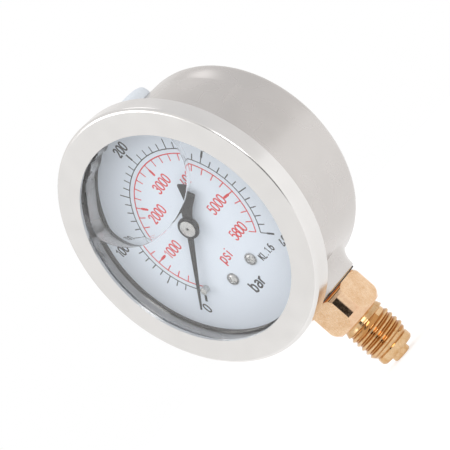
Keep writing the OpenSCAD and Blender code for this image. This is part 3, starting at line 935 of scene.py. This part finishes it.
class GAUGE_OT_filling(PieceOperator, bpy.types.Operator):
    """Window, its gasket, and the clear liquid with its air bubble"""
    bl_idname = "gauge.filling"
    bl_label = "Window and filling"

    def build(self):
        s = settings("filling")
        front, back = WINDOW_BACK - 0.15, DIAL_FACE + 0.25
        liquid = turned("liquid_filling", [(0, -front), (mm(s.radius), -front),
                                           (mm(s.radius), -back), (0, -back)], steps=192)
        # the bubble: a flattened round puddle of air, cut off and rippled by the case's wall
        middle = Vector((mm(s.puddle_across), mm(s.puddle_up)))
        wide, tall, rim = mm(s.puddle_width), mm(s.puddle_height), mm(s.rim)
        power, blend, waves, count, layers = 2.2, 20, 9, 144, 9

        def shore(a):
            """The bubble's edge in one direction from its middle, clockwise from the right"""
            way = Vector((math.cos(a), -math.sin(a)))
            puddle = ((abs(way.x) / wide) ** power + (abs(way.y) / tall) ** power) ** (-1 / power)
            side = middle.dot(way)
            wall = math.sqrt(side * side - middle.dot(middle) + rim * rim) - side
            wall += mm(s.ripple) * math.sin(waves * a)
            return middle + way * (puddle ** -blend + wall ** -blend) ** (-1 / blend)

        dense = [shore(2 * math.pi * i / count) for i in range(count)]
        verts = []
        for k in range(layers):
            v = k / (layers - 1)
            out = mm(s.bulge) * (1 - (2 * v - 1) ** 2) ** 0.5
            z = -(front - 0.3) - v * (back - front + 0.6)
            for i, p in enumerate(dense):
                along = (dense[(i + 1) % count] - dense[i - 1]).normalized()
                verts.append((p.x - along.y * out + mm(s.lean) * (0.27 - v), p.y + along.x * out,
                              z))
        faces = [tuple(range(count)), tuple(range((layers - 1) * count, layers * count))[::-1]]
        faces += [(k * count + i, (k + 1) * count + i, (k + 1) * count + (i + 1) % count,
                   k * count + (i + 1) % count) for k in range(layers - 1)
                  for i in range(count)]
        bubble = clean(raw("bubble", verts, faces=faces))
        liquid = clean(boolean(liquid, bubble, "DIFFERENCE"), 50)
        # glycerine and water: clear, a little less bending than the window
        dress(place(liquid, CASE_PLACE), "housing", "glass",
              clear("glycerine", s.index, (1.0, 1.0, 1.0)))
        # float glass: clear and flat
        carry("window", clear("float_glass", 1.5, (1.0, 1.0, 1.0)))
        carry("window_gasket", nitrile())


class GAUGE_OT_movement(PieceOperator, bpy.types.Operator):
    """Bourdon tube and the movement behind the dial"""
    bl_idname = "gauge.movement"
    bl_label = "Movement"

    def build(self):
        brass, steel, bronze = stamped_brass(), plain_steel(), drawn_bronze()
        for node in ("back_plate", "front_plate", "pillar_left", "pillar_right", "pillar_top",
                     "sector_gear", "hairspring_collet", "hairspring_stud", "tube_tip"):
            carry(node, brass)
        for node in ("plate_screw_left", "plate_screw_right", "sector_arbor", "sector_pin",
                     "pinion", "pinion_arbor", "link", "tip_pin"):
            carry(node, steel)
        carry("hairspring", bronze)
        # the tube: an oval section swept round its arc, bending from its root to its tip
        first, last, r, depth, wide, thick = 192, 452, 22.3, 22.4, 7.0, 2.6
        turns, around = 96, 24

        def section(k, phi):
            a = first + (last - first) * k / (turns - 1)
            flat = math.cos(phi) * wide / 2
            reach = r + math.sin(phi) * thick / 2
            return (*clock(a, reach), -depth + flat)

        tube = clean(polar("bourdon_tube_wall", turns, around, section), 50)
        place(tube, CASE_PLACE)
        dress(tube, None, "bronze", bronze, "bourdon_tube")
        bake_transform(tube)


class GAUGE_OT_stage(PieceOperator, bpy.types.Operator):
    """Pale floor, soft studio light and the camera"""
    bl_idname = "gauge.stage"
    bl_label = "Stage"

    def build(self):
        s = settings("stage")
        scene = bpy.context.scene
        base = CAD_BOX[0].z
        # the paper ends a little in front, so the polished corners see the room past it
        side, front, level = 1.2, 0.12, base - 0.05 * MM
        floor = raw("studio_floor", [(-side, -front, level), (side, -front, level),
                                     (side, side, level), (-side, side, level)],
                    faces=[(0, 1, 2, 3)])
        # paper sweep: even white that stays bright under the gauge
        paper = surface("paper_sweep", linear("#b4b4b4"), 0.0, 0.9, grain=1.0, spread=0.01, bump=0)
        shader = next(n for n in paper.node_tree.nodes if n.type == "BSDF_PRINCIPLED")
        shader.inputs["Emission Color"].default_value = (1, 1, 1, 1)
        shader.inputs["Emission Strength"].default_value = 0.64
        floor.data.materials.append(paper)

        world = bpy.data.worlds.new("studio")
        scene.world = world
        world.use_nodes = True
        tree = world.node_tree
        tree.nodes.clear()
        coord = add(tree, "ShaderNodeTexCoord")
        up = Vector((0.45, 0.25, 0.86)).normalized()
        rise = add(tree, "ShaderNodeVectorMath", {0: coord.outputs["Generated"], 1: up},
                   operation="DOT_PRODUCT")
        rise = add(tree, "ShaderNodeMapRange", {"Value": rise.outputs["Value"],
                                                "From Min": -1, "From Max": 1})
        tone = add(tree, "ShaderNodeValToRGB", {"Fac": rise.outputs[0]}, stops=[
            (0.0, (0.98, 0.97, 0.96)), (0.4, (1.0, 1.0, 1.0)), (0.62, (0.98, 0.97, 0.96)),
            (0.85, (0.88, 0.87, 0.87)), (1.0, (0.82, 0.82, 0.83))])
        # a tall dark opening in the room, which polished brass picks up
        ahead, across = (Vector((math.sin(a), -math.cos(a), 0)) for a in
                         (math.radians(30), math.radians(120)))
        height = Vector((0, 0, 1))
        fade = []
        for way, near, wide in ((ahead, 0.6, 0.5), (across, 0.20, 0.25), (height, 0.42, 0.55)):
            part = add(tree, "ShaderNodeVectorMath", {0: coord.outputs["Generated"], 1: way},
                       operation="DOT_PRODUCT").outputs["Value"]
            if way is not ahead:
                part = add(tree, "ShaderNodeMath", {0: part}, operation="ABSOLUTE").outputs[0]
            fade.append(add(tree, "ShaderNodeMapRange", {
                "Value": part, "From Min": wide, "From Max": near}, interpolation_type="SMOOTHSTEP"))
        dark = add(tree, "ShaderNodeMath", {0: fade[0].outputs[0], 1: fade[1].outputs[0]},
                   operation="MULTIPLY")
        dark = add(tree, "ShaderNodeMath", {0: dark.outputs[0], 1: fade[2].outputs[0]},
                   operation="MULTIPLY")
        shadow = add(tree, "ShaderNodeMapRange", {"Value": dark.outputs[0], "To Min": 1.0,
                                                  "To Max": 0.03})
        strip = add(tree, "ShaderNodeVectorMath", {0: coord.outputs["Generated"],
                                                   1: Vector((-0.02, 0.45, 0.89)).normalized()},
                    operation="DOT_PRODUCT")
        strip = add(tree, "ShaderNodeMapRange", {
            "Value": strip.outputs["Value"], "From Min": 0.975, "From Max": 0.99,
            "To Min": 1.0, "To Max": 1.9}, interpolation_type="SMOOTHSTEP")
        shadow = add(tree, "ShaderNodeMath", {0: shadow.outputs[0], 1: strip.outputs[0]},
                     operation="MULTIPLY")
        room = add(tree, "ShaderNodeBackground", {"Color": tone.outputs[0],
                                                  "Strength": shadow.outputs[0]})
        white = add(tree, "ShaderNodeBackground", {"Color": (1, 1, 1, 1), "Strength": 1.0})
        path = add(tree, "ShaderNodeLightPath")
        mix = add(tree, "ShaderNodeMixShader", {0: path.outputs["Is Camera Ray"],
                                                1: room.outputs[0], 2: white.outputs[0]})
        add(tree, "ShaderNodeOutputWorld", {"Surface": mix.outputs[0]})

        def area(name, spot, aim, size, power):
            lamp = bpy.data.lights.new(name, "AREA")
            lamp.shape, lamp.size, lamp.size_y, lamp.energy = "RECTANGLE", size[0], size[1], power
            ob = bpy.data.objects.new(name, lamp)
            scene.collection.objects.link(ob)
            ob.location = spot
            ob.rotation_euler = (Vector(aim) - Vector(spot)).to_track_quat("-Z", "Y").to_euler()

        area("key_softbox", (-0.35, -0.65, 0.6), (0, 0, 0.05), (0.5, 0.5), 1.5 * s.light)
        area("fill_softbox", (0.65, -0.6, 0.3), (0, 0, 0.05), (0.4, 0.3), 1.5 * s.light)

        aim = Vector((0, s.aim_depth + FRONT * MM, s.aim_height))
        az, el = s.azimuth, s.elevation
        away = Vector((math.sin(az) * math.cos(el), -math.cos(az) * math.cos(el), math.sin(el)))
        level = Vector((math.cos(az), math.sin(az), 0))
        rise = away.cross(level)
        right = level * math.cos(s.roll) - rise * math.sin(s.roll)
        top = rise * math.cos(s.roll) + level * math.sin(s.roll)
        lens = bpy.data.cameras.new("camera")
        lens.lens, lens.sensor_width, lens.clip_start = s.lens, 36, 0.01
        camera = bpy.data.objects.new("camera", lens)
        scene.collection.objects.link(camera)
        turn = Matrix((right, top, away)).transposed().to_4x4()
        camera.matrix_world = Matrix.Translation(aim + away * s.distance) @ turn
        scene.camera = camera
        scene.view_settings.view_transform = "Standard"


PIECES = (GAUGE_OT_case, GAUGE_OT_bezel, GAUGE_OT_plug, GAUGE_OT_stem, GAUGE_OT_dial,
          GAUGE_OT_pointer, GAUGE_OT_movement, GAUGE_OT_filling, GAUGE_OT_stage)


class GAUGE_PT_panel(bpy.types.Panel):
    """Lists every piece of the gauge"""
    bl_idname = "GAUGE_PT_panel"
    bl_label = "Pressure gauge"
    bl_space_type = "VIEW_3D"
    bl_region_type = "UI"
    bl_category = "Gauge"

    def draw(self, context):
        for piece in PIECES:
            self.layout.operator(piece.bl_idname)
        for name, group in SETTINGS.items():
            box = self.layout.box()
            box.label(text=name.title())
            for key in group.__annotations__:
                box.prop(settings(name), key)


def register():
    for group in SETTINGS.values():
        bpy.utils.register_class(group)
    for name, group in SETTINGS.items():
        setattr(bpy.types.Scene, "gauge_" + name, bpy.props.PointerProperty(type=group))
    for item in (*PIECES, GAUGE_PT_panel):
        bpy.utils.register_class(item)


def unregister():
    for item in (GAUGE_PT_panel, *PIECES[::-1]):
        bpy.utils.unregister_class(item)
    for name, group in SETTINGS.items():
        delattr(bpy.types.Scene, "gauge_" + name)
        bpy.utils.unregister_class(group)


def main():
    register()
    for piece in PIECES:
        family, name = piece.bl_idname.split(".")
        getattr(getattr(bpy.ops, family), name)()


if __name__ == "__main__":
    main()
